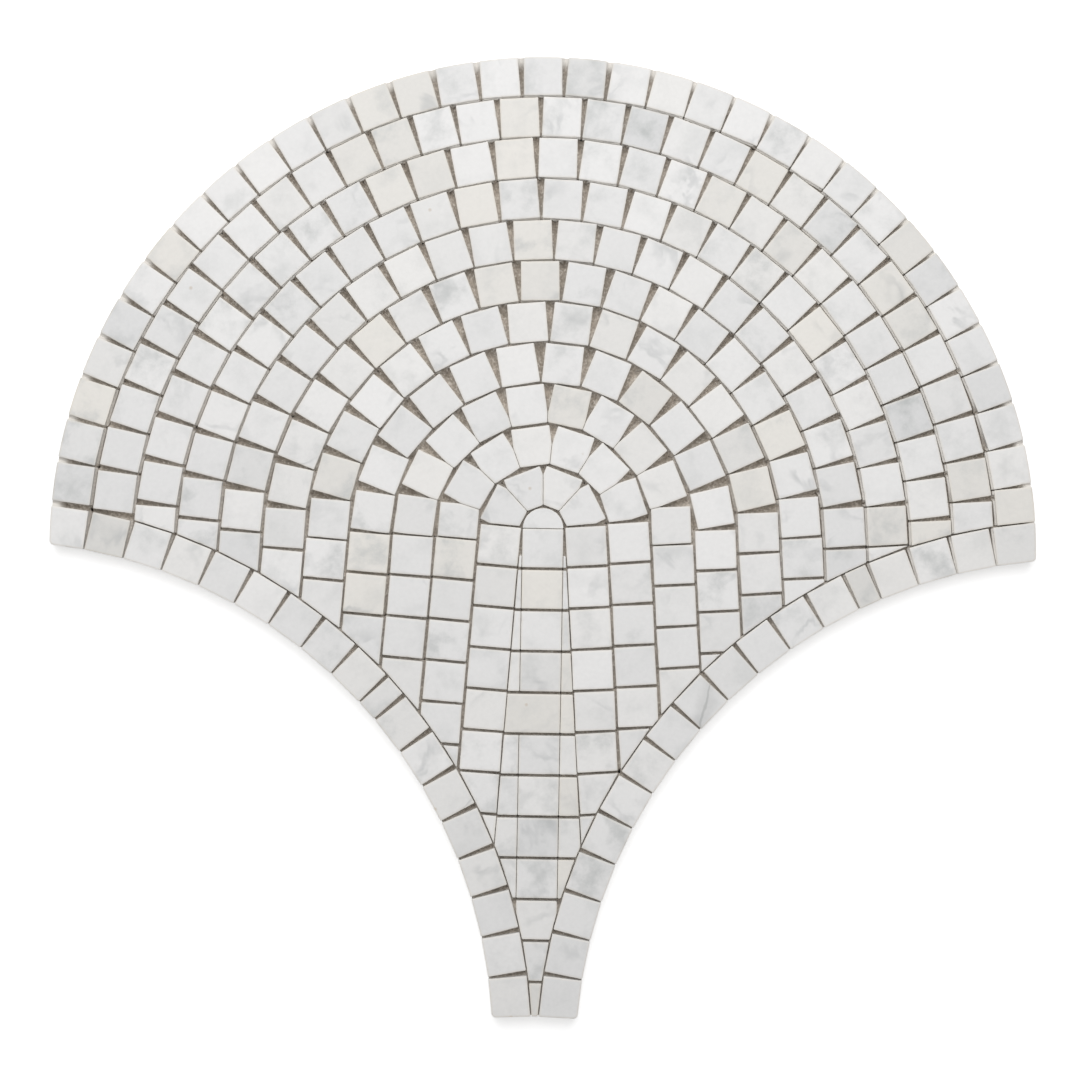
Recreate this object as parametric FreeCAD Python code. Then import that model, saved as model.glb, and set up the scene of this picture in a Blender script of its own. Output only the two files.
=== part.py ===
import FreeCAD, Part
import itertools
import math
import os
import random
from collections import namedtuple

# A fish scale mosaic sheet: sawn marble chips, laid by hand in nested arches round a straight spine,
# edged along both hollow sides by a curved row, and glued on a net that holds them together.
# The sheet lies face up. X runs across the fan, Y points to its crown, Z is up from the net's back.

V = FreeCAD.Vector

# Driving dimensions, in millimetres and degrees

# Chips
CHIP = 15.0                # side of a whole chip, along its row
CROWN_DEPTH = 15.3         # of a chip across an arch, round the crown
LEG_DEPTH = 15.7           # of a chip across an arch's leg
SPINE_WIDTH = 15.8         # of a chip across the spine
CHIP_THICKNESS = 10.0
ARRIS = 0.3                # eased edge round each chip's face
NARROWEST = 1.7            # a cut chip narrower than this is left out
THINNEST_FILLER = 0.92     # where the gap beside the spine leaves less room than this, it has no filler strip
RIM_GRINDING = 1.0         # what is ground off the rim's chips to make the outline round
CORNER_ROUNDING = 1.8      # radius of the sheet's two outer corners and of the tip's two corners

# Joints
CROWN_JOINT = 0.7          # between arches, at the crown
SIDE_JOINT = 1.15          # between the legs of arches
LEG_JOINT = 1.1            # between chips down a leg and down the spine
CAP_JOINT = 0.75           # between the spine's cap and the first arch
TOUCH_JOINT = 0.15         # between chips that all but touch
CUT_JOINT = 0.4            # between an edge row and what is cut to fit against it
FINE_JOINT = 0.2           # round the filler strips
EDGE_JOINT = 0.6           # between chips of an edge row, above its closer, at the sheet's hollow side

# Outline
LEG_SPLAY = 3.9            # how far the legs lean outwards
GROUT_GAP = 3.5            # gap left between this sheet's hollow side and its neighbour's rim
TIP_GAP = 2.4              # gap between the two edge rows where they come closest
TIP_CUT = 13.3             # height of the tip's end above the place where they come closest

# Net
NET_THICKNESS = 0.8
NET_INSET = 0.3            # from the sheet's outline to the net's edge

# Hand laying
TURN_PLAY = 0.9            # largest turn of a chip
SHIFT_PLAY = 0.15          # largest slip of a chip out of its row
LAYING_SEED = 11

# The arches from the innermost outwards. shift is how far the crown chip sits right of the axis, as a
# share of a chip's pitch. The joints are the wide ends of the wedges between chips: between those nearest
# the axis, then on round the left and the right.
Arch = namedtuple("Arch", "shift crown_joint left_joint right_joint")
ARCHES = [
    Arch(0.48, 2.5, 2.5, 2.5),
    Arch(-0.31, 3.3, 3.1, 2.9),
    Arch(-0.43, 3.8, 4.1, 3.9),
    Arch(0.38, 4.5, 3.8, 3.9),
    Arch(-0.43, 3.6, 3.2, 3.3),
    Arch(-0.16, 3.5, 3.0, 2.7),
    Arch(-0.35, 2.7, 3.0, 2.6),
    Arch(0.32, 2.8, 2.6, 2.1),
    Arch(0.20, 2.5, 2.7, 2.1),
    Arch(0.28, 2.2, 2.4, 2.1),
    Arch(-0.18, 2.5, 2.1, 1.6),
]
CROWN_CHIPS = 3            # chips on each side of an arch that count as nearest the axis

# The edge rows. start is where a row starts along the hollow side, from the outer corner. Its narrow closer
# comes after some whole chips, and those below it share what is left of the side down to the tip.
EdgeRow = namedtuple("EdgeRow", "start whole_above closer")
LEFT_EDGE = EdgeRow(-1.8, 9, 8.3)
RIGHT_EDGE = EdgeRow(0.0, 4, 8.8)

WIDE_SPINE_CHIP = 4        # spine chips above the one that is sawn wide enough to need no left filler

# Worked out from the above

LAST = len(ARCHES) - 1
ARCH_STEP = LEG_DEPTH + SIDE_JOINT
CENTRE_DRIFT = ARCH_STEP - CROWN_DEPTH - CROWN_JOINT
LEG_STEP = CHIP + LEG_JOINT
LEG_START = math.radians(90 - LEG_SPLAY)
CAP_RADIUS = SPINE_WIDTH / 2
RIM_RADIUS = CAP_RADIUS + CAP_JOINT + LAST * ARCH_STEP + CHIP
EDGE_RADIUS = RIM_RADIUS + GROUT_GAP
EDGE_OFFSET = EDGE_RADIUS + CHIP + TIP_GAP / 2
FAN_CENTRE = V(0, (EDGE_RADIUS - TIP_CUT - RIM_RADIUS) / 2, 0)
TIP_Y = FAN_CENTRE.y - EDGE_RADIUS + TIP_CUT
CAP_CENTRE = FAN_CENTRE + V(0, LAST * CENTRE_DRIFT, 0)
FOOT_SPARE = math.sqrt(8) * NARROWEST + LEG_JOINT    # a leg's last chip may be sawn this much longer
SHORTEST_SIDE = 3 * ARRIS
INWARD_PLAY = CROWN_JOINT / 4
BED = V(0, 0, NET_THICKNESS)
UP = V(0, 0, 1)


def polar(centre, radius, angle):
    """The point at a radius from a centre, with the angle turning clockwise from +Y."""
    return centre + V(radius * math.sin(angle), radius * math.cos(angle), 0)


def edge_centre(side):
    """The centre of the hollow side on the left (-1) or the right (1)."""
    return FAN_CENTRE + V(side * EDGE_OFFSET, -EDGE_RADIUS, 0)


def corner_angle(rim, hollow):
    """Where a rim and a hollow side of these radii meet, as an angle at the hollow side's centre."""
    reach = math.hypot(EDGE_OFFSET, EDGE_RADIUS)
    cosine = (reach ** 2 + hollow ** 2 - rim ** 2) / (2 * reach * hollow)
    return math.atan2(EDGE_OFFSET, EDGE_RADIUS) - math.acos(cosine)


def tip_sagitta():
    """How much higher the tip's arched end is at the axis than at its corners."""
    half = EDGE_OFFSET - math.sqrt(EDGE_RADIUS ** 2 - TIP_CUT ** 2)
    return EDGE_RADIUS - math.sqrt(EDGE_RADIUS ** 2 - half ** 2)


def middle(outline):
    """The mean of an outline's corners."""
    total = V(0, 0, 0)
    for corner in outline:
        total = total + corner
    return total / len(outline)


def width(outline):
    """How wide an outline is across its longest side, as a mean."""
    sides = [b - a for a, b in zip(outline, outline[1:] + outline[:1])]
    area = sum(a.x * b.y - b.x * a.y for a, b in zip(outline, outline[1:] + outline[:1]))
    return abs(area) / 2 / max(side.Length for side in sides)


def keep_beyond(outline, point, direction):
    """The part of a convex outline that lies beyond a line through point, in direction."""
    kept = []
    for a, b in zip(outline, outline[1:] + outline[:1]):
        depth_a = (a - point).dot(direction)
        depth_b = (b - point).dot(direction)
        if depth_a >= 0:
            kept.append(a)
        if depth_a * depth_b < 0:
            kept.append(a + (b - a) * (depth_a / (depth_a - depth_b)))
    return kept


def fit_against_edges(outline, narrowest=NARROWEST):
    """An outline sawn straight to fit against both edge rows, or nothing if too little is left."""
    for side in (-1, 1):
        centre = edge_centre(side)
        away = (middle(outline) - centre).normalize()
        outline = keep_beyond(outline, centre + away * (EDGE_RADIUS + CHIP + CUT_JOINT), away)
        outline = [corner for corner, previous in zip(outline, outline[-1:] + outline[:-1])
                   if (corner - previous).Length > SHORTEST_SIDE]
        if len(outline) < 3 or width(outline) < narrowest:
            return None
    return outline


def nudged(outline, turn, slip):
    """An outline turned about its middle, in radians, and moved by slip."""
    pivot = middle(outline)
    nudge = FreeCAD.Rotation(UP, math.degrees(turn))
    return [pivot + slip + nudge.multVec(corner - pivot) for corner in outline]


def chip(outline, within=None, rounded_at=None):
    """A chip of marble on the net, eased round its face.

    within is a solid that its sides are ground to, and rounded_at is near the corner that is rounded.
    """
    corners = [corner + BED for corner in outline]
    solid = Part.Face(Part.makePolygon(corners + corners[:1])).extrude(UP * CHIP_THICKNESS)
    if within:
        solid = solid.common(within).Solids[0]
    if rounded_at:
        nearest = min(upright_edges(solid), key=lambda edge: (edge.CenterOfMass - rounded_at).Length)
        solid = solid.makeFillet(CORNER_ROUNDING, [nearest])
    return eased(solid, width(outline))


def upright_edges(solid):
    """The edges that run the whole height of a solid."""
    return [edge for edge in solid.Edges if edge.BoundBox.ZLength > solid.BoundBox.ZLength / 2]


def eased(solid, across):
    """A solid with its upper edges chamfered, by less on a narrow one."""
    top = solid.BoundBox.ZMax
    edges = [edge for edge in solid.Edges if min(v.Z for v in edge.Vertexes) > top - ARRIS / 10]
    return solid.makeChamfer(min(ARRIS, across / 5), edges)


def rim_disc():
    """The round outline that the rim is ground to, as a disc whose seam is below the tip."""
    disc = Part.makeCylinder(RIM_RADIUS, CHIP_THICKNESS * 2, FAN_CENTRE)
    disc.rotate(FAN_CENTRE, UP, -90)
    return disc


def stations(first, crown_step, arc_step, arc_end):
    """Places of chips along an arch's inner edge, each with its pitch: at the crown, on round, down the leg."""
    place, step = first, crown_step
    for laid in itertools.count(1):
        yield place, step
        place += step / 2
        round_step = crown_step if laid < CROWN_CHIPS else arc_step
        step = round_step if place + round_step / 2 < arc_end else LEG_STEP
        place += step / 2


def arch_place(centre, inner, side, place):
    """A point of an arch's inner edge, from the crown to one side, and the direction that is outward there."""
    angle = side * min(place / inner, LEG_START)
    outward = polar(V(0, 0, 0), 1, angle)
    down_leg = V(outward.y, -outward.x, 0) * side * max(0, place - inner * LEG_START)
    return centre + outward * inner + down_leg, outward


def room_outward(inner, place):
    """How far out from an arch's inner edge a chip may reach before its corners meet the next arch."""
    down_leg = place - inner * LEG_START
    corner = CHIP / 2 if down_leg < 0 else max(0, CHIP / 2 + CENTRE_DRIFT - down_leg)
    next_inner = inner + ARCH_STEP - CENTRE_DRIFT * math.cos(min(place / inner, LEG_START))
    return math.sqrt((next_inner - INWARD_PLAY - TOUCH_JOINT) ** 2 - corner ** 2) - inner


def hand_play(laying):
    """How far a hand leaves a chip turned, in radians, and slipped out of its row."""
    return math.radians(laying.uniform(-TURN_PLAY, TURN_PLAY)), laying.uniform(-SHIFT_PLAY, SHIFT_PLAY)


def arch_outline(centre, inner, side, rim, place, step, play, longer=0, narrowest=NARROWEST):
    """A chip laid by hand at a place on an arch, sawn longer onwards, and trimmed to its share of the row."""
    foot, outward = arch_place(centre, inner, side, place)
    if rim:
        depth = CHIP + RIM_GRINDING
        room = depth + SHIFT_PLAY
    else:
        room = room_outward(inner, place)
        depth = min(room, CROWN_DEPTH if place < inner * LEG_START else LEG_DEPTH)
    head = foot + outward * depth
    onward = V(outward.y, -outward.x, 0) * side
    back = onward * CHIP / 2
    front = onward * (CHIP / 2 + longer)
    turn, slip = play
    outline = nudged([foot - back, head - back, head + front, foot + front], turn, outward * slip)
    outline = keep_beyond(outline, foot - outward * INWARD_PLAY, outward)
    outline = keep_beyond(outline, foot + outward * room, -outward)
    for end, reach in ((-1, step / 2), (1, step / 2 + longer)):
        border, along = arch_place(centre, inner, side, place + end * reach)
        towards_chip = V(along.y, -along.x, 0) * -end * side
        outline = keep_beyond(outline, border + towards_chip * TOUCH_JOINT / 2, towards_chip)
    return fit_against_edges(outline, narrowest)


def arch_chips(index, arch, laying):
    """One arch: chips square to the curve with wedge joints round the crown, then straight down both legs.

    The last chip of a leg is sawn long enough to reach the edge row, where a corner piece would be too narrow.
    """
    inner = CAP_RADIUS + CAP_JOINT + index * ARCH_STEP
    centre = FAN_CENTRE + V(0, (LAST - index) * CENTRE_DRIFT, 0)
    rim = rim_disc() if index == LAST else None
    crown_step, left_step, right_step = [inner * (CHIP + joint) / (inner + CHIP) for joint in
                                         (arch.crown_joint, arch.left_joint, arch.right_joint)]
    crown = arch.shift * crown_step
    chips = []
    for side, first, arc_step in ((1, crown, right_step), (-1, crown_step - crown, left_step)):
        row = centre, inner, side, rim
        outlines = []
        for place, step in stations(first, crown_step, arc_step, inner * LEG_START):
            laid = place, step, hand_play(laying)
            outline = arch_outline(*row, *laid)
            if not outline:
                break
            outlines.append(outline)
            last = laid
        if last[0] > inner * LEG_START and not rim:
            outlines[-1] = arch_outline(*row, *last, FOOT_SPARE, narrowest=0)
        chips += [chip(outline, rim) for outline in outlines]
    return chips


def edge_stations(row):
    """Where each chip of an edge row starts along the hollow side, with its width, from the corner to the tip."""
    place = corner_angle(RIM_RADIUS, EDGE_RADIUS) * EDGE_RADIUS + row.start
    for width_along in [CHIP] * row.whole_above + [row.closer]:
        yield place, width_along
        place += width_along + EDGE_JOINT
    place -= EDGE_JOINT
    left_over = math.acos(TIP_CUT / EDGE_RADIUS) * EDGE_RADIUS - place
    below = int(left_over / (CHIP + EDGE_JOINT))
    for number in range(1, below + 1):
        yield place + left_over * number / below - CHIP, CHIP


def sawn_at_tip(outline, corner, side):
    """The part of an edge row's last chip above the tip's arched end, which starts from the sheet's corner."""
    slant = V(0, TIP_Y + tip_sagitta(), 0) - corner
    return keep_beyond(outline, corner, V(slant.y, -slant.x, 0) * side)


def edge_chips(side, row):
    """The row of chips along one hollow side, each square to it, and the last one sawn along the tip's end."""
    centre = edge_centre(side)
    rim = rim_disc()
    chips = []
    places = list(edge_stations(row))
    for number, (place, width_along) in enumerate(places):
        half = width_along / 2
        outward = polar(V(0, 0, 0), 1, -side * (place + half) / EDGE_RADIUS)
        onward = V(outward.y, -outward.x, 0) * -side
        foot = centre + outward * math.sqrt(EDGE_RADIUS ** 2 - half ** 2)
        head = foot + outward * CHIP
        first, last = number == 0, number == len(places) - 1
        before = half + CHIP / 4 if first else half
        after = half + CHIP / 4 if last else half
        outline = [foot - onward * before, foot + onward * after, head + onward * after, head - onward * before]
        if first:
            chips.append(chip(outline, rim, outline[0]))
        elif last:
            corner = foot + onward * half
            chips.append(chip(sawn_at_tip(outline, corner, side), rounded_at=corner))
        else:
            chips.append(chip(outline))
    return chips


def spine_levels():
    """The upper side of each spine chip, from under the cap down to the tip."""
    level = CAP_CENTRE.y - FINE_JOINT
    while level > TIP_Y:
        yield level
        level -= LEG_STEP


def filler_reach(y):
    """How far from the axis the fillers reach at a height: to the inner side of the first arch's legs."""
    springing = polar(CAP_CENTRE, CAP_RADIUS + CAP_JOINT, LEG_START)
    return springing.x + (springing.y - y) * math.tan(math.radians(LEG_SPLAY)) - INWARD_PLAY - FINE_JOINT


def filler_top():
    """The height below which the gap beside the spine leaves room for a filler."""
    spare = filler_reach(CAP_CENTRE.y) - SPINE_WIDTH / 2 - FINE_JOINT - THINNEST_FILLER
    return CAP_CENTRE.y + spare / math.tan(math.radians(LEG_SPLAY))


def spine_chips():
    """The straight column under the cap, sawn to a point between the two edge rows."""
    tip_end = V(0, TIP_Y + tip_sagitta(), 0)
    chips = []
    for number, top in enumerate(spine_levels()):
        bottom = top - CHIP
        wide = number == WIDE_SPINE_CHIP
        half = SPINE_WIDTH / 2
        outline = [V(-filler_reach(bottom) if wide else -half, bottom, 0), V(half, bottom, 0),
                   V(half, top, 0), V(-filler_reach(top) if wide else -half, top, 0)]
        outline = fit_against_edges(keep_beyond(outline, tip_end, V(0, 1, 0)))
        if outline:
            chips.append(chip(outline))
    return chips


def cap_chip():
    """The half-round chip that heads the spine."""
    left = CAP_CENTRE + BED - V(CAP_RADIUS, 0, 0)
    right = CAP_CENTRE + BED + V(CAP_RADIUS, 0, 0)
    crown = Part.Arc(left, CAP_CENTRE + BED + V(0, CAP_RADIUS, 0), right).toShape()
    base = Part.makeLine(right, left)
    return eased(Part.Face(Part.Wire([crown, base])).extrude(UP * CHIP_THICKNESS), CAP_RADIUS)


def filler_chips(side):
    """The thin strips between the spine and one splayed leg of the first arch."""
    near = SPINE_WIDTH / 2 + FINE_JOINT
    chips = []
    for number, level in enumerate(spine_levels()):
        bottom = level - CHIP
        top = min(level, filler_top())
        if top - bottom < NARROWEST or (side < 0 and number == WIDE_SPINE_CHIP):
            continue
        outline = [V(side * near, bottom, 0), V(side * filler_reach(bottom), bottom, 0),
                   V(side * filler_reach(top), top, 0), V(side * near, top, 0)]
        outline = fit_against_edges(outline, THINNEST_FILLER)
        if outline:
            chips.append(chip(outline))
    return chips


def net():
    """The net's sheet, as thick as it is with its glue, held back from the sheet's outline all round."""
    rim = RIM_RADIUS - NET_INSET
    hollow = EDGE_RADIUS + NET_INSET
    corner = corner_angle(rim, hollow)
    tip = math.acos((TIP_CUT + tip_sagitta() + NET_INSET) / hollow)
    left = [polar(edge_centre(-1), hollow, angle) for angle in (tip, (tip + corner) / 2, corner)]
    right = [polar(edge_centre(1), hollow, -angle) for angle in (corner, (tip + corner) / 2, tip)]
    crown = Part.Arc(left[-1], polar(FAN_CENTRE, rim, 0), right[0]).toShape()
    base = Part.makeLine(right[-1], left[0])
    outline = Part.Wire([Part.Arc(*left).toShape(), crown, Part.Arc(*right).toShape(), base])
    sheet = Part.Face(outline).extrude(UP * NET_THICKNESS)
    return sheet.makeFillet(CORNER_ROUNDING, upright_edges(sheet))


def main():
    laying = random.Random(LAYING_SEED)
    nodes = {"backing_net": [net()], "spine_cap": [cap_chip()], "spine_row": spine_chips(),
             "left_filler_strips": filler_chips(-1), "right_filler_strips": filler_chips(1),
             "left_edge_row": edge_chips(-1, LEFT_EDGE), "right_edge_row": edge_chips(1, RIGHT_EDGE)}
    for index, arch in enumerate(ARCHES):
        name = "rim_row" if index == LAST else f"arch_row_{index + 1:02d}"
        nodes[name] = arch_chips(index, arch, laying)
    os.makedirs("parts", exist_ok=True)
    for name, solids in nodes.items():
        Part.makeCompound(solids).exportStep(f"parts/{name}.step")
        print(name, len(solids))


main()
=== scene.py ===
import math
import random

import bmesh
import bpy
import numpy as np
from mathutils import Matrix, Vector, noise
from mathutils.bvhtree import BVHTree


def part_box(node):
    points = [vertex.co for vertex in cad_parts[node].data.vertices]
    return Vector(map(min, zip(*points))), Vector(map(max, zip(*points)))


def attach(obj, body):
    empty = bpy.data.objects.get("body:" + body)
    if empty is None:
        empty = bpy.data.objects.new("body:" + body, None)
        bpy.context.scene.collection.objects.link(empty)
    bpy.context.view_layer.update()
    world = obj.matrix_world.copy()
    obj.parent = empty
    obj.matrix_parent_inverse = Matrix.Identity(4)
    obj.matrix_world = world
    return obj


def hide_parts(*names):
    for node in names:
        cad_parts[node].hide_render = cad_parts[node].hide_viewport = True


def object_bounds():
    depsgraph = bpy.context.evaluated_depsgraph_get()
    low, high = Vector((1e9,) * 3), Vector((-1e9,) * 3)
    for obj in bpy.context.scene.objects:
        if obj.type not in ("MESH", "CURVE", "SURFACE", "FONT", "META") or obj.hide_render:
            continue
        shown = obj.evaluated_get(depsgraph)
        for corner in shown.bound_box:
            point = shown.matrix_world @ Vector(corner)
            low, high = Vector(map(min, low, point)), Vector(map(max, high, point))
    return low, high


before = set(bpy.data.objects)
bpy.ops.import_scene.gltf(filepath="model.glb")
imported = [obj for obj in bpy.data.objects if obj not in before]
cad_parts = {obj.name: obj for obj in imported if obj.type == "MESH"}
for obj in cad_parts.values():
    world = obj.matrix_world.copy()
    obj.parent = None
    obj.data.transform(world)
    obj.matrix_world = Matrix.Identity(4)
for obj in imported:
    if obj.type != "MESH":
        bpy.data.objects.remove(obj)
cad_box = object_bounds()

# A marble mosaic sheet. Each CAD row of chips is rebuilt with worn edges, every chip from its own place in
# the slab, and the CAD backing becomes a woven net in dried glue.
# Lengths are in millimetres until a mesh is made.

MM = 0.001

# From the CAD: the rim's radius, and the fan's middle, level with the widest place of the rim
RIM_RADIUS = (cad_box[1][0] - cad_box[0][0]) / 2 / MM
FAN_Y = cad_box[1][1] / MM - RIM_RADIUS

# Reading the CAD's outlines
SAME_POINT = 0.001        # points of a CAD solid this near are one
STRAIGHT_ON = 0.5          # a turn in a CAD outline that counts as none, in degrees
FACING_DOWN = -0.99        # a CAD face is an underside where its normal points up less than this

# Chips
SIDE_SPACING = 0.8         # between points along a chip's sides
CORNER_CUT = 0.25          # how far a chip's upright corners are worn back
CORNER_SHARE = 0.4         # the most that takes of a short side, at each end
ARRIS = 0.16               # usual wear along a chip's upper edges
LEAST_ARRIS = 0.06
ARRIS_LEVEL = 0.75         # share of the usual wear about which it comes and goes
ARRIS_WAVE = 3.0           # length over which it does
ARRIS_SHIFT = 500          # range of the shifts that make each chip's wear its own
NICKS = (0, 1, 1, 2, 3)    # how many nicks a chip may have, each as likely
NICK_DEPTH = 0.5           # largest nick in an edge
NICK_LENGTH = 0.9
LEAST_NICK_DEPTH = 0.3     # smallest nick, as shares of the largest
LEAST_NICK_LENGTH = 0.4
EDGE_BAND = 1.0            # width of a worn edge with the warm line inside it
BAND_SHARE = 0.8           # of the room inside a narrow chip, taken up by that band
WEAR_SHARE = 0.6           # of that band, worn away at most
WALL_TOP = 0.4             # height of the strip of wall that rolls over into the worn edge
EDGE_TURNS = (0, 45, 90)   # steps of that roll, in degrees
LIPPAGE = 0.10             # how far a face stands below its neighbours
TILT = 0.008               # slope of a face that isn't laid quite level
SHARP_TURN = 50            # a surface that turns by more than this shows an edge, in degrees
SLAB_PLACES = (50, 900)    # where in the slab the plain chips come from, clear of its bold vein

# Net
NET_PITCH = 5.0            # between yarns
WEFT_WIDTH = 0.9
WARP_WIDTH = 0.5
YARN_THICKNESS = 0.22
NET_MIDDLE = 0.42          # height of the weave's middle plane
WEAVE_RISE = 0.31          # rise and fall of a warp yarn about that plane
WEFT_SHARE = 0.3           # of that rise, in a weft yarn, which lies straighter
WARP_SWAY = 0.45           # how far the two yarns of a warp pair part from each other
GLUE_BOTTOM = 0.2
GLUE_TOP = 0.76
GLUE_UNEVEN = 0.05
GLUE_RIPPLE = 0.16         # how quickly that unevenness comes and goes, in waves to a millimetre
GLUE_CELL = 3.0            # mesh size of the glue film

# Glue pressed up between the chips, some of it pale and raised: painted light against the chips' sides and
# painted shade along the rim
GLUE_RISE = 6.3            # its height above the film, against a chip's side
GLUE_CREEP = 0.7           # how much higher it stands in a narrow joint
NARROW_JOINT = 1.0
WIDE_JOINT = 2.2           # at this width none of that is left
PAINTED_LIGHT_RISE = 3.0            # how much higher it banks up, pale, against a side that faces the fan's middle: painted light in place of that side of the chip, lit through the marble; also how much higher the glue stands along the rim
PAINTED_LIGHT_STARTS = 28.0         # distance from the fan's middle where that begins
PAINTED_LIGHT_FULL = 144.0          # and where it is full
PAINTED_LIGHT_TURNS = (-130, -85, -35, 50, 90, 130)      # directions from the middle, in degrees from the crown
PAINTED_LIGHT_SHARES = (0.0, 0.5, 1.0, 1.0, 1.0, 0.0)    # and how much of that painted light there is in each
PAINTED_LIGHT_WIDTH = 0.7
PAINTED_LIGHT_MOUTHS = (1.5, 2.2)   # width of a joint where that painted light starts to die out, and where it has
PAINTED_LIGHT_SLOT = 0.28           # least width of the slot that the pale glue leaves along the next row
DUST_SHARE = 0.25          # how much of a narrow joint's glue is covered with dust
GLUE_WAVER = 0.7           # how far that height comes and goes
GLUE_WAVE = 5.0            # length over which it does
GLUE_HOLLOW = 0.8          # its fall towards the joint's middle, for each millimetre of the way
GLUE_LAP = 0.3             # how far it runs on past the middle, under the glue of the next chip
GLUE_TUCK = 0.05           # how far it goes into a chip's rough side
GLUE_STEP = 1.2            # between points along it
GLUE_LOW = 0.1             # its height at the sheet's open edge
RIM_PAINTED_SHADE = 2.6             # width of the rim's edge, where all the glue is made pale and the pressed-up glue stands higher: painted shade in place of the floor seen in shade through the joints' mouths
WIDEST_JOINT = 4.5         # a chip's side is an open edge where no other chip is this near
LOOK_ASLANT = 0.5          # how far to each side a joint's narrowest place is looked for, in radians

# View
FACE_WIDTH = 420.5         # width of the picture at the chips' faces
CAMERA_HEIGHT = 1300.0     # above the faces
CAMERA_AT = (-1.1, -0.95)
CAMERA_ROLL = 1.0          # degrees
SENSOR_WIDTH = 36

# Room, in metres and watts
CAMERA_REACH = 20
FLOOR_HALF = 4.0           # from the floor's middle to its sides
FLOOR_LIFT = 0.5           # how much brighter the floor is seen than it is lit
ROOM_LIGHT = 0.31          # how much light the room gives, where it is seen as 1
LAMP_SIZE = 1.1
LAMP_POWER = 13
LAMP_AT = (-0.05, 0.62, 1.15)

# How cream a chip is, and then how grey and how clouded
CREAM_SPREAD = 0.07        # in the plain chips
PLAIN_GREYS = (0.03, 0.3)
PLAIN_CLOUDS = (0.2, 0.35, 0.35, 0.5, 0.75, 1.0)
CREAM_TONE = 0.4           # in the chips that stand out
GREY_TONE = (0.42, 0.9)
SMOKY_TONE = (0.55, 1.6)
BRIGHT_TONE = (0.0, 0.2)

# Chips that stand out in the sheet, numbered clockwise from their row's left foot, or down from the cap
DOWN_THE_SPINE = ("spine_row", "left_filler_strips", "right_filler_strips")
CREAM = {
    "arch_row_02": (5,), "arch_row_03": (9,), "arch_row_04": (1, 2, 11), "arch_row_05": (3, 16),
    "arch_row_06": (6, 9, 10, 17), "arch_row_07": (11,), "arch_row_08": (11, 20, 25),
    "arch_row_09": (10, 11, 13, 18, 20, 28), "arch_row_10": (10, 11, 14, 20, 24, 25, 29),
    "rim_row": (2, 6, 12, 13, 26, 33), "left_edge_row": (17,), "right_edge_row": (4,),
    "spine_row": (1, 4, 11), "right_filler_strips": (3, 4, 6, 8)}
GREY = {
    "arch_row_05": (19,), "arch_row_07": (0, 2, 23), "arch_row_10": (22,), "rim_row": (0, 4, 17, 27, 30),
    "left_edge_row": (17,), "right_edge_row": (4,), "spine_row": (7,)}
SMOKY = {"arch_row_09": (25,), "arch_row_10": (17,)}
BRIGHT = {
    "arch_row_01": (13, 15), "arch_row_02": (9, 10, 11), "arch_row_03": (5,), "arch_row_04": (8, 14, 15),
    "arch_row_05": (5, 14), "arch_row_06": (13,), "rim_row": (7, 9), "left_edge_row": (16,)}
VEINED = {"right_edge_row": (9,)}
VEIN_TURN = -0.23          # how the bold vein lies in such a chip, in radians, and how far off its middle
VEIN_ASIDE = -1.9


def linear(colour):
    """An sRGB hex colour as linear RGBA."""
    parts = [int(colour[i:i + 2], 16) / 255 for i in (1, 3, 5)]
    return [c / 12.92 if c <= 0.04045 else ((c + 0.055) / 1.055) ** 2.4 for c in parts] + [1.0]


def per_mm(size):
    """A texture's scale for a pattern of this size, on coordinates in metres."""
    return 1 / (size * MM)


def add(tree, kind, settings=None, inputs=None):
    """Adds a node. inputs gives a socket, by name or number, a value or another node's output."""
    node = tree.nodes.new(kind)
    for name, value in (settings or {}).items():
        setattr(node, name, value)
    for socket, value in (inputs or {}).items():
        if isinstance(value, bpy.types.NodeSocket):
            tree.links.new(value, node.inputs[socket])
        else:
            node.inputs[socket].default_value = value
    return node


def new_material(name):
    """A material with its node tree and its surface shader."""
    material = bpy.data.materials.new(name)
    material.use_nodes = True
    return material, material.node_tree, material.node_tree.nodes["Principled BSDF"]


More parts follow.
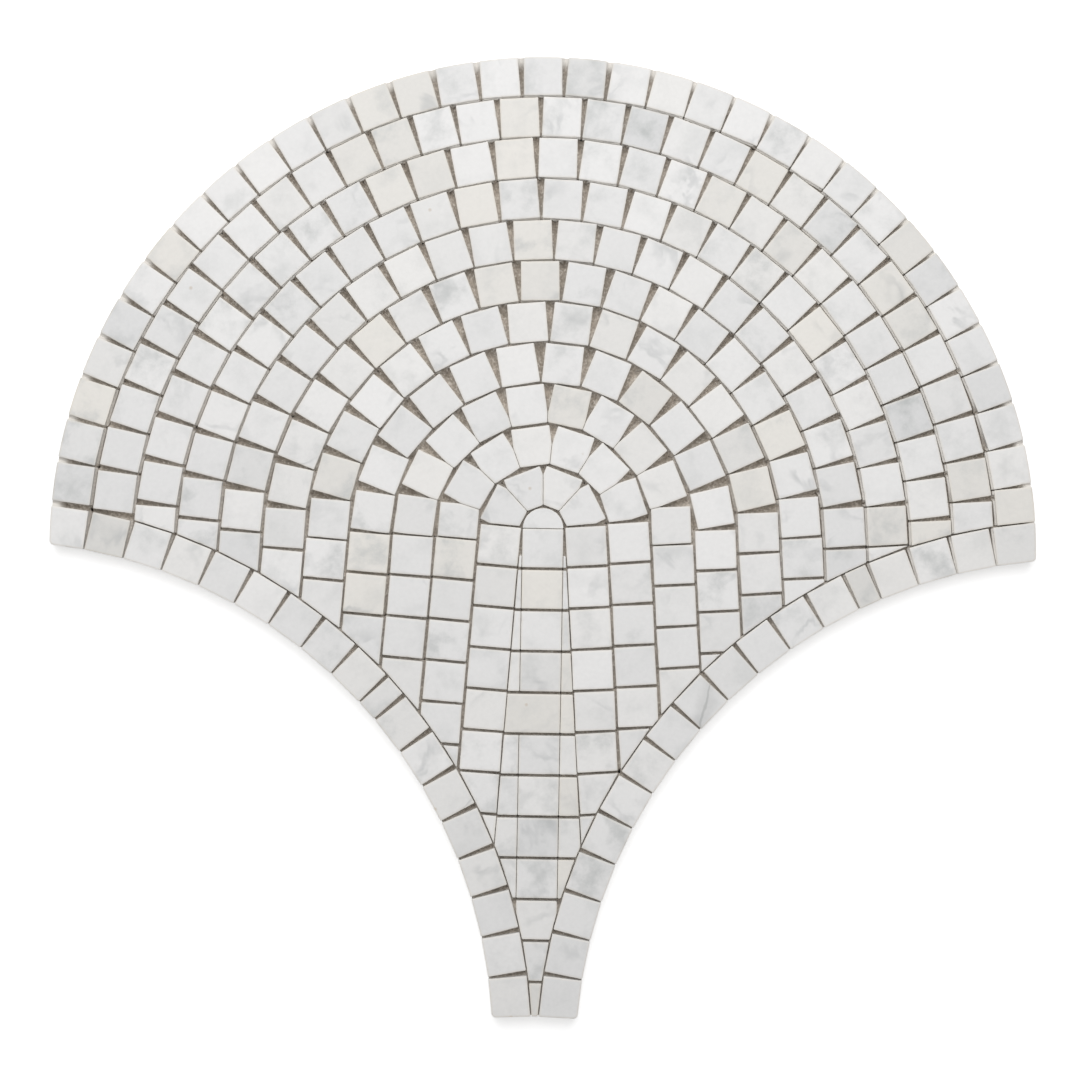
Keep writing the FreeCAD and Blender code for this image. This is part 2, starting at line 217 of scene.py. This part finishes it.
def honed_marble():
    """White marble, sawn and honed: matt, with faint clouds, a few soft veins and warm worn edges."""
    material, tree, surface = new_material("honed white marble")
    place = add(tree, "ShaderNodeAttribute", {"attribute_name": "slab_place"}).outputs["Vector"]
    tone = add(tree, "ShaderNodeSeparateColor", None, {
        "Color": add(tree, "ShaderNodeAttribute", {"attribute_name": "chip_tone"}).outputs["Color"]})
    worn = add(tree, "ShaderNodeAttribute", {"attribute_name": "worn_edge"}).outputs["Fac"]

    # Each chip's own ground colour
    colour = add(tree, "ShaderNodeMix", {"data_type": "RGBA"}, {
        0: tone.outputs["Red"], 6: linear("#F1F0EF"), 7: linear("#E6DFD0")}).outputs[2]
    colour = add(tree, "ShaderNodeMix", {"data_type": "RGBA"}, {
        0: tone.outputs["Green"], 6: colour, 7: linear("#CACBCC")}).outputs[2]

    # Soft grey clouds about a chip wide
    cloud = add(tree, "ShaderNodeTexNoise", None, {
        "Vector": place, "Scale": per_mm(13), "Detail": 5.0, "Roughness": 0.6})
    cloud = add(tree, "ShaderNodeMapRange", {"interpolation_type": "SMOOTHSTEP"}, {
        "Value": cloud.outputs["Fac"], "From Min": 0.44, "From Max": 0.76, "To Max": 0.8})
    cloud = add(tree, "ShaderNodeMath", {"operation": "MULTIPLY"}, {
        0: cloud.outputs["Result"], 1: tone.outputs["Blue"]})
    colour = add(tree, "ShaderNodeMix", {"data_type": "RGBA"}, {
        0: cloud.outputs[0], 6: colour, 7: linear("#C0C2C1")}).outputs[2]

    # Veins: the narrow band where a warped noise crosses its middle, fading in and out
    vein = add(tree, "ShaderNodeTexNoise", None, {
        "Vector": place, "Scale": per_mm(34), "Detail": 4.0, "Roughness": 0.55, "Distortion": 0.5})
    vein = add(tree, "ShaderNodeMath", {"operation": "SUBTRACT"}, {0: vein.outputs["Fac"], 1: 0.5})
    vein = add(tree, "ShaderNodeMath", {"operation": "ABSOLUTE"}, {0: vein.outputs[0]})
    vein = add(tree, "ShaderNodeMapRange", {"interpolation_type": "SMOOTHSTEP"}, {
        "Value": vein.outputs[0], "From Min": 0.0, "From Max": 0.045, "To Min": 1.0, "To Max": 0.0})
    fade = add(tree, "ShaderNodeTexNoise", None, {"Vector": place, "Scale": per_mm(17), "Detail": 2.0})
    fade = add(tree, "ShaderNodeMapRange", None, {
        "Value": fade.outputs["Fac"], "From Min": 0.52, "From Max": 0.74, "To Max": 0.45})
    vein = add(tree, "ShaderNodeMath", {"operation": "MULTIPLY"}, {
        0: vein.outputs["Result"], 1: fade.outputs["Result"]})
    colour = add(tree, "ShaderNodeMix", {"data_type": "RGBA"}, {
        0: vein.outputs[0], 6: colour, 7: linear("#A9ACAD")}).outputs[2]

    # One bold vein runs through the slab at x = 0: a dark thread in a soft grey band
    wander = add(tree, "ShaderNodeTexNoise", None, {"Vector": place, "Scale": per_mm(11), "Detail": 3.0})
    wander = add(tree, "ShaderNodeMapRange", None, {
        "Value": wander.outputs["Fac"], "To Min": -3.0 * MM, "To Max": 3.0 * MM})
    aside = add(tree, "ShaderNodeMath", {"operation": "ADD"}, {
        0: add(tree, "ShaderNodeSeparateXYZ", None, {0: place}).outputs["X"], 1: wander.outputs["Result"]})
    aside = add(tree, "ShaderNodeMath", {"operation": "ABSOLUTE"}, {0: aside.outputs[0]})
    thread = add(tree, "ShaderNodeMapRange", {"interpolation_type": "SMOOTHSTEP"}, {
        "Value": aside.outputs[0], "From Min": 0.1 * MM, "From Max": 0.9 * MM, "To Min": 0.5, "To Max": 0.0})
    band = add(tree, "ShaderNodeMapRange", {"interpolation_type": "SMOOTHSTEP"}, {
        "Value": aside.outputs[0], "From Min": 0.0, "From Max": 4.5 * MM, "To Min": 0.22, "To Max": 0.0})
    bold = add(tree, "ShaderNodeMath", {"operation": "MAXIMUM"}, {
        0: thread.outputs["Result"], 1: band.outputs["Result"]})
    colour = add(tree, "ShaderNodeMix", {"data_type": "RGBA"}, {
        0: bold.outputs[0], 6: colour, 7: linear("#8B8E8C")}).outputs[2]

    # Rusty specks a millimetre across, one on every few chips
    speck = add(tree, "ShaderNodeTexVoronoi", None, {"Vector": place, "Scale": per_mm(24)})
    speck = add(tree, "ShaderNodeMapRange", None, {
        "Value": speck.outputs["Distance"], "From Min": 0.015, "From Max": 0.04,
        "To Min": 0.4, "To Max": 0.0})
    colour = add(tree, "ShaderNodeMix", {"data_type": "RGBA"}, {
        0: speck.outputs["Result"], 6: colour, 7: linear("#B79E7C")}).outputs[2]

    # Crystals sparkle in the white: a faint mottle, drawn coarser than the real grain so that it shows
    grain = add(tree, "ShaderNodeTexNoise", None, {"Vector": place, "Scale": per_mm(1.6), "Detail": 3.0})
    mottle = add(tree, "ShaderNodeMapRange", None, {
        "Value": grain.outputs["Fac"], "From Min": 0.3, "From Max": 0.7, "To Min": 0.98, "To Max": 1.02})
    colour = add(tree, "ShaderNodeMix", {"data_type": "RGBA", "blend_type": "MULTIPLY"}, {
        0: 1.0, 6: colour, 7: mottle.outputs["Result"]}).outputs[2]

    # Worn edges hold a cream stain
    stain = add(tree, "ShaderNodeMath", {"operation": "MULTIPLY"}, {0: worn, 1: 0.25})
    colour = add(tree, "ShaderNodeMix", {"data_type": "RGBA"}, {
        0: stain.outputs[0], 6: colour, 7: linear("#EADFCB")}).outputs[2]

    # Sawn sides, darker towards the net: a little glue and dust, and painted shade deep in the joints
    height = add(tree, "ShaderNodeSeparateXYZ", None, {
        0: add(tree, "ShaderNodeTexCoord").outputs["Object"]}).outputs["Z"]
    dust_and_painted_shade = add(tree, "ShaderNodeMapRange", None, {
        "Value": height, "From Min": 10.0 * MM, "From Max": 2.0 * MM, "To Max": 0.6})
    colour = add(tree, "ShaderNodeMix", {"data_type": "RGBA"}, {
        0: dust_and_painted_shade.outputs["Result"], 6: colour, 7: linear("#D9D2C7")}).outputs[2]
    rough = add(tree, "ShaderNodeMapRange", None, {
        "Value": grain.outputs["Fac"], "To Min": 0.44, "To Max": 0.54})
    tree.links.new(colour, surface.inputs["Base Color"])
    tree.links.new(rough.outputs["Result"], surface.inputs["Roughness"])
    surface.inputs["IOR"].default_value = 1.5

    # Honing leaves a fine tooth
    tooth = add(tree, "ShaderNodeTexNoise", None, {"Vector": place, "Scale": per_mm(0.5), "Detail": 2.0})
    bump = add(tree, "ShaderNodeBump", None, {
        "Strength": 0.12, "Distance": 0.05 * MM, "Height": tooth.outputs["Fac"]})
    tree.links.new(bump.outputs["Normal"], surface.inputs["Normal"])
    return material


def glass_yarn():
    """Glass-fibre yarn, twisted and sized: pale, with a faint twist along it."""
    material, tree, surface = new_material("woven glass-fibre yarn")
    where = add(tree, "ShaderNodeTexCoord").outputs["Object"]
    twist = add(tree, "ShaderNodeTexWave", {"bands_direction": "DIAGONAL"}, {
        "Vector": where, "Scale": per_mm(2.2), "Distortion": 1.5})
    colour = add(tree, "ShaderNodeMix", {"data_type": "RGBA"}, {
        0: twist.outputs["Fac"], 6: linear("#D2CBBE"), 7: linear("#E9E4DA")})
    tree.links.new(colour.outputs[2], surface.inputs["Base Color"])
    surface.inputs["Roughness"].default_value = 0.55
    surface.inputs["IOR"].default_value = 1.5
    return material


def dried_glue():
    """Dried tile glue: dull grey-brown, blotched and lumpy, with crumbs of stone, darker in its hollows as
    painted shade, and pale under stone dust and where it stands in for light and shade as painted light.
    """
    material, tree, surface = new_material("dried tile glue")
    where = add(tree, "ShaderNodeTexCoord").outputs["Object"]
    blotch = add(tree, "ShaderNodeTexNoise", None, {
        "Vector": where, "Scale": per_mm(9), "Detail": 6.0, "Roughness": 0.65})
    blotch = add(tree, "ShaderNodeMapRange", {"interpolation_type": "SMOOTHSTEP"}, {
        "Value": blotch.outputs["Fac"], "From Min": 0.35, "From Max": 0.68})
    colour = add(tree, "ShaderNodeMix", {"data_type": "RGBA"}, {
        0: blotch.outputs["Result"], 6: linear("#A3998D"), 7: linear("#CBC1B5")}).outputs[2]
    lumps = add(tree, "ShaderNodeTexNoise", None, {"Vector": where, "Scale": per_mm(1.0), "Detail": 4.0})
    # Darker where the lumps are low: painted shade in the hollows of the glue
    painted_pit_shade = add(tree, "ShaderNodeMapRange", {"interpolation_type": "SMOOTHSTEP"}, {
        "Value": lumps.outputs["Fac"], "From Min": 0.5, "From Max": 0.36, "To Max": 0.45})
    colour = add(tree, "ShaderNodeMix", {"data_type": "RGBA"}, {
        0: painted_pit_shade.outputs["Result"], 6: colour, 7: linear("#7F776D")}).outputs[2]
    crumbs = add(tree, "ShaderNodeMapRange", {"interpolation_type": "SMOOTHSTEP"}, {
        "Value": lumps.outputs["Fac"], "From Min": 0.54, "From Max": 0.66, "To Max": 0.65})
    colour = add(tree, "ShaderNodeMix", {"data_type": "RGBA"}, {
        0: crumbs.outputs["Result"], 6: colour, 7: linear("#E6E1D9")}).outputs[2]
    # Pale under stone dust, where the glue stands in for the marble's sides lit through the stone (painted
    # light), and along the rim, where it stands in for the floor seen in shade (painted shade)
    dust_and_painted_light = add(tree, "ShaderNodeAttribute", {"attribute_name": "dust_and_painted_light"}).outputs["Fac"]
    colour = add(tree, "ShaderNodeMix", {"data_type": "RGBA"}, {
        0: dust_and_painted_light, 6: colour, 7: linear("#E6E2DC")}).outputs[2]
    tree.links.new(colour, surface.inputs["Base Color"])
    bump = add(tree, "ShaderNodeBump", None, {
        "Strength": 0.6, "Distance": 0.3 * MM, "Height": lumps.outputs["Fac"]})
    tree.links.new(bump.outputs["Normal"], surface.inputs["Normal"])
    surface.inputs["Roughness"].default_value = 0.7
    surface.inputs["IOR"].default_value = 1.47
    return material


def underside_outlines(node):
    """The outline of each solid's underside in a CAD node, in millimetres, anticlockwise from above."""
    solids = bmesh.new()
    solids.from_mesh(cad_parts[node].data)
    bmesh.ops.remove_doubles(solids, verts=solids.verts, dist=SAME_POINT * MM)
    bmesh.ops.dissolve_limit(solids, angle_limit=math.radians(STRAIGHT_ON), verts=solids.verts,
                             edges=solids.edges)
    undersides = [face for face in solids.faces if face.normal.z < FACING_DOWN]
    outlines = [np.array([vert.co.xy for vert in reversed(face.verts)]) / MM for face in undersides]
    solids.free()
    return outlines


def in_laying_order(node):
    """A row's outlines clockwise round the fan from the left foot, or down the spine from the cap."""
    def place(outline):
        x, y = outline.mean(0)
        return -y if node in DOWN_THE_SPINE else math.atan2(x, y - FAN_Y)
    return sorted(underside_outlines(node), key=place)


def next_to(points):
    """Each point's step to the next one round an outline."""
    return np.roll(points, -1, 0) - points


def inward(outline):
    """How each corner of an outline moves when the outline shrinks by one."""
    ahead = next_to(outline)
    ahead /= np.linalg.norm(ahead, axis=1, keepdims=True)
    left = np.column_stack((-ahead[:, 1], ahead[:, 0]))
    before = np.roll(left, 1, 0)
    return (left + before) / (1 + (left * before).sum(1, keepdims=True))


def edge_band(outline):
    """The width of a chip's worn edge: less on a chip where one of the sides would close up within it."""
    ahead = next_to(outline)
    closing = -(next_to(inward(outline)) * ahead).sum(1)
    room = (ahead ** 2).sum(1)[closing > 0] / closing[closing > 0]
    return min(EDGE_BAND, BAND_SHARE * room.min())


def side_counts(outline, spacing):
    """How many points each side of an outline gets, about this far apart."""
    return [max(2, round(np.linalg.norm(along) / spacing)) for along in next_to(outline)]


def side_points(outline, counts):
    """Points along an outline's sides, worn back from its corners, with a count for each side."""
    points = []
    for start, along, count in zip(outline, next_to(outline), counts):
        cut = min(CORNER_CUT / np.linalg.norm(along), CORNER_SHARE)
        points += [start + along * share for share in np.linspace(cut, 1 - cut, count)]
    return np.array(points)


def edge_wear(points, chance):
    """How far the upper edge is worn at each point: a wandering arris with a few nicks."""
    shift = chance.uniform(0, ARRIS_SHIFT)
    waves = [noise.noise((x / ARRIS_WAVE, y / ARRIS_WAVE, shift)) for x, y in points]
    wear = (ARRIS_LEVEL + np.array(waves)) * ARRIS
    for _ in range(chance.choice(NICKS)):
        spot = points[chance.randrange(len(points))]
        depth = chance.uniform(LEAST_NICK_DEPTH, 1) * NICK_DEPTH
        length = chance.uniform(LEAST_NICK_LENGTH, 1) * NICK_LENGTH
        wear += depth * np.exp(-(np.linalg.norm(points - spot, axis=1) / length) ** 2)
    return wear


def chip_rings(outline, bottom, top, chance):
    """Rings of points up a chip's sides, over its worn edge and onto its face, each with its edge stain."""
    counts = side_counts(outline, SIDE_SPACING)
    points = side_points(outline, counts)
    band = edge_band(outline)
    move = (side_points(outline + inward(outline) * band, counts) - points) / band
    wear = np.clip(edge_wear(points, chance), LEAST_ARRIS, NICK_DEPTH).clip(max=WEAR_SHARE * band)[:, None]
    slope = np.array([chance.uniform(-TILT, TILT), chance.uniform(-TILT, TILT)])
    level = top - chance.uniform(0, LIPPAGE) - np.abs(slope).sum() * np.ptp(outline, axis=0).max() / 2
    middle = outline.mean(0)

    def ring(inset, drop, stain):
        moved = points + move * inset
        return np.column_stack((moved, level + (moved - middle) @ slope - drop)), stain

    rings = [(np.column_stack((points, np.full(len(points), bottom))), 0.0),
             ring(0, wear[:, 0] + WALL_TOP, 0.0)]
    for turn in np.radians(EDGE_TURNS):
        rings.append(ring(wear * (1 - math.cos(turn)), wear[:, 0] * (1 - math.sin(turn)), 1.0))
    rings.append(ring(band, 0, 0.0))
    return rings


def chip_tone(node, number, chance):
    """How cream, how grey and how clouded a chip is."""
    cream = max(0.0, chance.gauss(0.0, CREAM_SPREAD))
    grey = chance.uniform(*PLAIN_GREYS)
    cloud = chance.choice(PLAIN_CLOUDS)
    if number in CREAM.get(node, ()):
        cream = CREAM_TONE
    for chips, tone in ((GREY, GREY_TONE), (SMOKY, SMOKY_TONE), (BRIGHT, BRIGHT_TONE)):
        if number in chips.get(node, ()):
            grey, cloud = tone
    return cream, grey, cloud


def new_piece(name, mesh, material):
    """A piece of the sheet, from a mesh in metres, with its flats and its edges shaded as they are."""
    mesh.materials.append(material)
    mesh.shade_smooth()
    mesh.set_sharp_from_angle(angle=math.radians(SHARP_TURN))
    piece = bpy.data.objects.new(name, mesh)
    bpy.context.scene.collection.objects.link(piece)
    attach(piece, "root")
    return piece


def mesh_of(name, verts, faces):
    """A mesh from points in millimetres."""
    mesh = bpy.data.meshes.new(name)
    mesh.from_pydata((np.array(verts) * MM).tolist(), [], faces)
    return mesh


def write_values(piece, name, kind, field, values):
    """Gives each point of a piece a value that its material reads by name."""
    attribute = piece.data.attributes.new(name, kind, "POINT")
    attribute.data.foreach_set(field, np.array(values, dtype=np.float32).ravel())


def add_rings(verts, faces, rings, closed=False):
    """Adds rings of as many points each, with a band of faces from each to the next.

    If closed, a last band runs back to the first ring, or else a face covers each end."""
    count = len(rings[0])
    starts = [len(verts) + count * number for number in range(len(rings))]
    for points in rings:
        verts += points.tolist()
    for here, onward in zip(starts, starts[1:] + starts[:1] if closed else starts[1:]):
        for i in range(count):
            beside = (i + 1) % count
            faces.append((here + i, here + beside, onward + beside, onward + i))
    if not closed:
        faces.append(tuple(range(starts[0] + count - 1, starts[0] - 1, -1)))
        faces.append(tuple(range(starts[-1], starts[-1] + count)))


def lay_row(node, outlines, marble):
    """Rebuilds a CAD row of chips, each cut from its own place in the slab."""
    chance = random.Random(node)
    low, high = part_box(node)
    verts, faces, places, tones, stains = [], [], [], [], []
    for number, outline in enumerate(outlines):
        rings, ring_stains = zip(*chip_rings(outline, low.z / MM, high.z / MM, chance))
        first = len(verts)
        add_rings(verts, faces, rings)
        stains += np.repeat(ring_stains, len(rings[0])).tolist()
        turn = chance.uniform(0, math.tau)
        sawn_at = np.array([chance.uniform(*SLAB_PLACES) for _ in range(3)])
        if number in VEINED.get(node, ()):
            turn = VEIN_TURN
            sawn_at[0] = VEIN_ASIDE
        cos, sin = math.cos(turn), math.sin(turn)
        turned = np.array([[cos, -sin, 0], [sin, cos, 0], [0, 0, 1]])
        middle = np.array([*outline.mean(0), 0])
        places += ((np.array(verts[first:]) - middle) @ turned + sawn_at).tolist()
        tones += [(*chip_tone(node, number, chance), 1.0)] * (len(verts) - first)
    name = f"{node}_chips"
    piece = new_piece(name, mesh_of(name, verts, faces), marble)
    write_values(piece, "slab_place", "FLOAT_VECTOR", "vector", np.array(places) * MM)
    write_values(piece, "chip_tone", "FLOAT_COLOR", "color", tones)
    write_values(piece, "worn_edge", "FLOAT", "value", stains)
    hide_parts(node)


def stretches(outline, axis, at):
    """Where the line at one coordinate runs inside an outline, as pairs of the other coordinate."""
    crossings = []
    for start, along in zip(outline, next_to(outline)):
        if (start[axis] <= at) != (start[axis] + along[axis] <= at):
            crossings.append(start[1 - axis] + (at - start[axis]) / along[axis] * along[1 - axis])
    crossings.sort()
    return zip(crossings[::2], crossings[1::2])


def add_yarn(verts, faces, path, width):
    """Adds a flat twisted yarn along a path, lozenge-shaped across."""
    path = np.array(path)
    along = np.gradient(path, axis=0)
    across = np.column_stack((-along[:, 1], along[:, 0], np.zeros(len(path))))
    across *= width / 2 / np.linalg.norm(across, axis=1, keepdims=True)
    up = np.array([0, 0, YARN_THICKNESS / 2])
    add_rings(verts, faces, [np.array((point + side, point + up, point - side, point - up))
                             for point, side in zip(path, across)])


def yarn_runs(outline, axis):
    """The yarns of one direction: each one's line, places along it, and its swing over and under others."""
    reach = int(np.abs(outline[:, axis]).max() / NET_PITCH)
    for line in range(-reach, reach + 1):
        for start, end in stretches(outline, axis, line * NET_PITCH):
            if end - start >= NET_PITCH:
                run = np.linspace(start, end, max(3, round((end - start) / NET_PITCH * 2) + 1))
                yield line, run, np.cos(math.pi * (run / NET_PITCH + line))


def weave_net(outline):
    """The net: single weft yarns, each held between the two crossing yarns of every warp pair."""
    verts, faces = [], []
    for line, run, swing in yarn_runs(outline, 0):
        for hand in (-1, 1):
            sway = line * NET_PITCH + hand * WARP_SWAY * np.cos(math.pi * run / NET_PITCH)
            warp = np.column_stack((sway, run, NET_MIDDLE - hand * WEAVE_RISE * swing))
            add_yarn(verts, faces, warp, WARP_WIDTH)
    for line, run, swing in yarn_runs(outline, 1):
        level = NET_MIDDLE + WEFT_SHARE * WEAVE_RISE * swing
        weft = np.column_stack((run, np.full_like(run, line * NET_PITCH), level))
        add_yarn(verts, faces, weft, WEFT_WIDTH)
    return new_piece("backing_net_yarns", mesh_of("backing_net_yarns", verts, faces), glass_yarn())


def near_rim(away):
    """How pale, and how raised, the glue is made at a distance from the fan's middle, all of it along the
    rim: painted shade in place of the floor seen in shade through the joints' mouths.
    """
    return np.interp(away, (RIM_RADIUS - 2 * RIM_PAINTED_SHADE, RIM_RADIUS - RIM_PAINTED_SHADE), (0, 1))


def spread_glue(outline, glue):
    """The film of glue that the net lies in, uneven on both sides."""
    film = bmesh.new()
    film.faces.new([film.verts.new((x, y, 0)) for x, y in outline])
    for axis, across in enumerate((Vector((1, 0, 0)), Vector((0, 1, 0)))):
        reach = int(np.abs(outline[:, axis]).max() / GLUE_CELL)
        for line in range(-reach, reach + 1):
            bmesh.ops.bisect_plane(film, geom=film.verts[:] + film.edges[:] + film.faces[:],
                                   plane_co=across * line * GLUE_CELL, plane_no=across)
    bmesh.ops.solidify(film, geom=film.faces[:], thickness=GLUE_TOP - GLUE_BOTTOM)
    lowest = min(vert.co.z for vert in film.verts)
    for vert in film.verts:
        uneven = GLUE_UNEVEN * noise.noise(vert.co * GLUE_RIPPLE)
        vert.co.z += GLUE_BOTTOM - lowest + uneven
    bmesh.ops.recalc_face_normals(film, faces=film.faces)
    bmesh.ops.scale(film, verts=film.verts, vec=(MM, MM, MM))
    mesh = bpy.data.meshes.new("backing_net_glue")
    film.to_mesh(mesh)
    film.free()
    away = [math.hypot(vert.co.x / MM, vert.co.y / MM - FAN_Y) for vert in mesh.vertices]
    piece = new_piece("backing_net_glue", mesh, glue)
    # Pale along the rim: painted shade in place of the floor seen in shade through the joints' mouths
    write_values(piece, "dust_and_painted_light", "FLOAT", "value", near_rim(away))
    return piece


def standing_walls(outlines):
    """The chips' sides, a millimetre high, to measure the joints between."""
    corners, walls = [], []
    for outline in outlines:
        for start, along in zip(outline, next_to(outline)):
            first = len(corners)
            corners += [(*start, 0), (*(start + along), 0), (*(start + along), 1), (*start, 1)]
            walls.append((first, first + 1, first + 2, first + 3))
    return BVHTree.FromPolygons(corners, walls)


def joint_width(walls, point, outward):
    """How far a point of a chip's side is from the next chip, square or aslant, or 0 at an open edge."""
    start = Vector((*(point + outward * GLUE_TUCK), 0.5))
    found = [walls.ray_cast(start, Matrix.Rotation(turn, 3, "Z") @ Vector((*outward, 0)), WIDEST_JOINT)[3]
             for turn in (-LOOK_ASLANT, 0, LOOK_ASLANT)]
    return min((width for width in found if width is not None), default=0)


def painted_light_share(points, outward, widths):
    """How much pale glue stands up along a chip's sides as painted light, in place of the sides lit through
    the marble: more the farther they are from the fan's middle.
    """
    from_middle = points - (0, FAN_Y)
    away = np.linalg.norm(from_middle, axis=1)
    facing = np.clip(-(from_middle * outward).sum(1) / away, 0, 1)
    painted_light = facing * np.interp(away, (PAINTED_LIGHT_STARTS, PAINTED_LIGHT_FULL), (0, 1))
    painted_light *= np.interp(np.degrees(np.arctan2(*from_middle.T)), PAINTED_LIGHT_TURNS, PAINTED_LIGHT_SHARES)
    return painted_light * np.interp(widths, PAINTED_LIGHT_MOUTHS, (1, 0))


def glue_section(points, outward, widths, narrow, painted_light, rim):
    """The four corners of the glue's section along a chip's sides, each a ring of points round the chip."""
    waver = GLUE_WAVER * np.array([noise.noise((x / GLUE_WAVE, y / GLUE_WAVE, 0)) for x, y in points])
    # Higher where pale glue stands in for light on the sides facing the fan's middle (painted light) and
    # along the rim (painted shade)
    higher = np.maximum(GLUE_CREEP * narrow, PAINTED_LIGHT_RISE * np.maximum(painted_light, rim))
    rise = np.where(widths > 0, GLUE_RISE + higher + waver, GLUE_LOW)
    across = np.minimum(widths / 2 + GLUE_LAP, widths)
    painted_light_reach = np.clip(widths - PAINTED_LIGHT_SLOT, widths / 2, PAINTED_LIGHT_WIDTH)
    reach = np.where(widths > 0, across + (painted_light_reach - across) * painted_light, -GLUE_TUCK / 2)
    fall = np.where(widths > 0, GLUE_HOLLOW * reach, 0)
    inner = points - outward * GLUE_TUCK
    outer = points + outward * reach[:, None]
    film = np.full(len(points), GLUE_TOP - GLUE_UNEVEN)
    return [np.column_stack((inner, film)), np.column_stack((outer, film)),
            np.column_stack((outer, film + rise - fall)), np.column_stack((inner, film + rise))]


def press_up_glue(outlines, glue):
    """Glue pressed up round each chip: highest against its side, hollow towards the middle of the joint."""
    walls = standing_walls(outlines)
    verts, faces, dust = [], [], []
    for outline in outlines:
        counts = side_counts(outline, GLUE_STEP)
        points = side_points(outline, counts)
        along = next_to(outline)
        along /= np.linalg.norm(along, axis=1, keepdims=True)
        outward = np.repeat(np.column_stack((along[:, 1], -along[:, 0])), counts, axis=0)
        widths = np.array([joint_width(walls, point, way) for point, way in zip(points, outward)])
        narrow = np.interp(widths, (NARROW_JOINT, WIDE_JOINT), (1, 0))
        # Pale glue raised against the sides that face the fan's middle: painted light for the marble lit
        # through in the joints
        painted_light = painted_light_share(points, outward, widths)
        rim = near_rim(np.linalg.norm(points - (0, FAN_Y), axis=1))
        section = glue_section(points, outward, widths, narrow, painted_light, rim)
        add_rings(verts, faces, section, closed=True)
        # Pale as painted light against those sides and as painted shade along the rim, and under dust in
        # narrow joints
        dust_and_painted_light = np.maximum(np.maximum(painted_light, rim), DUST_SHARE * narrow)
        dust += np.tile(dust_and_painted_light, len(section)).tolist()
    piece = new_piece("backing_net_pressed_glue", mesh_of("backing_net_pressed_glue", verts, faces), glue)
    write_values(piece, "dust_and_painted_light", "FLOAT", "value", dust)
    return piece


def seen_directly(tree):
    """1 where a surface is seen by the camera, in a reflection or through glass, and else 0."""
    ray = add(tree, "ShaderNodeLightPath").outputs
    seen = add(tree, "ShaderNodeMath", {"operation": "MAXIMUM"}, {
        0: ray["Is Camera Ray"], 1: ray["Is Glossy Ray"]})
    return add(tree, "ShaderNodeMath", {"operation": "MAXIMUM"}, {
        0: seen.outputs[0], 1: ray["Is Transmission Ray"]}).outputs[0]


def white_floor():
    """A white floor that is seen a little brighter than it is lit, so that only shadows show on it."""
    material, tree, surface = new_material("white floor")
    surface.inputs["Base Color"].default_value = linear("#F4F4F4")
    surface.inputs["Roughness"].default_value = 0.9
    lift = add(tree, "ShaderNodeMath", {"operation": "MULTIPLY"}, {0: seen_directly(tree), 1: FLOOR_LIFT})
    surface.inputs["Emission Color"].default_value = (1, 1, 1, 1)
    tree.links.new(lift.outputs[0], surface.inputs["Emission Strength"])
    mesh = bpy.data.meshes.new("floor")
    corners = [(x * FLOOR_HALF, y * FLOOR_HALF, 0) for x, y in ((-1, -1), (1, -1), (1, 1), (-1, 1))]
    mesh.from_pydata(corners, [], [(0, 1, 2, 3)])
    mesh.materials.append(material)
    floor = bpy.data.objects.new("floor", mesh)
    bpy.context.scene.collection.objects.link(floor)


def studio_light():
    """An even room, seen as white, and one large soft lamp above and beyond the crown."""
    world = bpy.data.worlds.new("white room")
    bpy.context.scene.world = world
    world.use_nodes = True
    room = world.node_tree.nodes["Background"]
    room.inputs["Color"].default_value = (1, 1, 1, 1)
    level = add(world.node_tree, "ShaderNodeMapRange", None, {
        "Value": seen_directly(world.node_tree), "To Min": ROOM_LIGHT, "To Max": 1.0})
    world.node_tree.links.new(level.outputs["Result"], room.inputs["Strength"])
    lamp = bpy.data.lights.new("soft lamp", "AREA")
    lamp.shape = "SQUARE"
    lamp.size = LAMP_SIZE
    lamp.energy = LAMP_POWER
    lit = bpy.data.objects.new("soft lamp", lamp)
    lit.location = LAMP_AT
    lit.rotation_euler = (Vector((0, 0, 0)) - lit.location).to_track_quat("-Z", "Y").to_euler()
    bpy.context.scene.collection.objects.link(lit)


def camera_above():
    """A camera straight above the face."""
    camera = bpy.data.cameras.new("camera")
    camera.sensor_width = SENSOR_WIDTH
    camera.lens = SENSOR_WIDTH * CAMERA_HEIGHT / FACE_WIDTH
    camera.clip_end = CAMERA_REACH
    eye = bpy.data.objects.new("camera", camera)
    eye.location = (CAMERA_AT[0] * MM, CAMERA_AT[1] * MM, CAMERA_HEIGHT * MM + cad_box[1][2])
    eye.rotation_euler = (0, 0, math.radians(CAMERA_ROLL))
    bpy.context.scene.collection.objects.link(eye)
    bpy.context.scene.camera = eye


rows = {node: in_laying_order(node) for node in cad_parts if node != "backing_net"}
marble = honed_marble()
for node, outlines in rows.items():
    lay_row(node, outlines, marble)

net_outline = underside_outlines("backing_net")[0]
all_chips = [outline for outlines in rows.values() for outline in outlines]
glue = dried_glue()
for piece in (weave_net(net_outline), spread_glue(net_outline, glue), press_up_glue(all_chips, glue)):
    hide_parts("backing_net")

white_floor()
studio_light()
camera_above()
bpy.context.scene.view_settings.view_transform = "Standard"
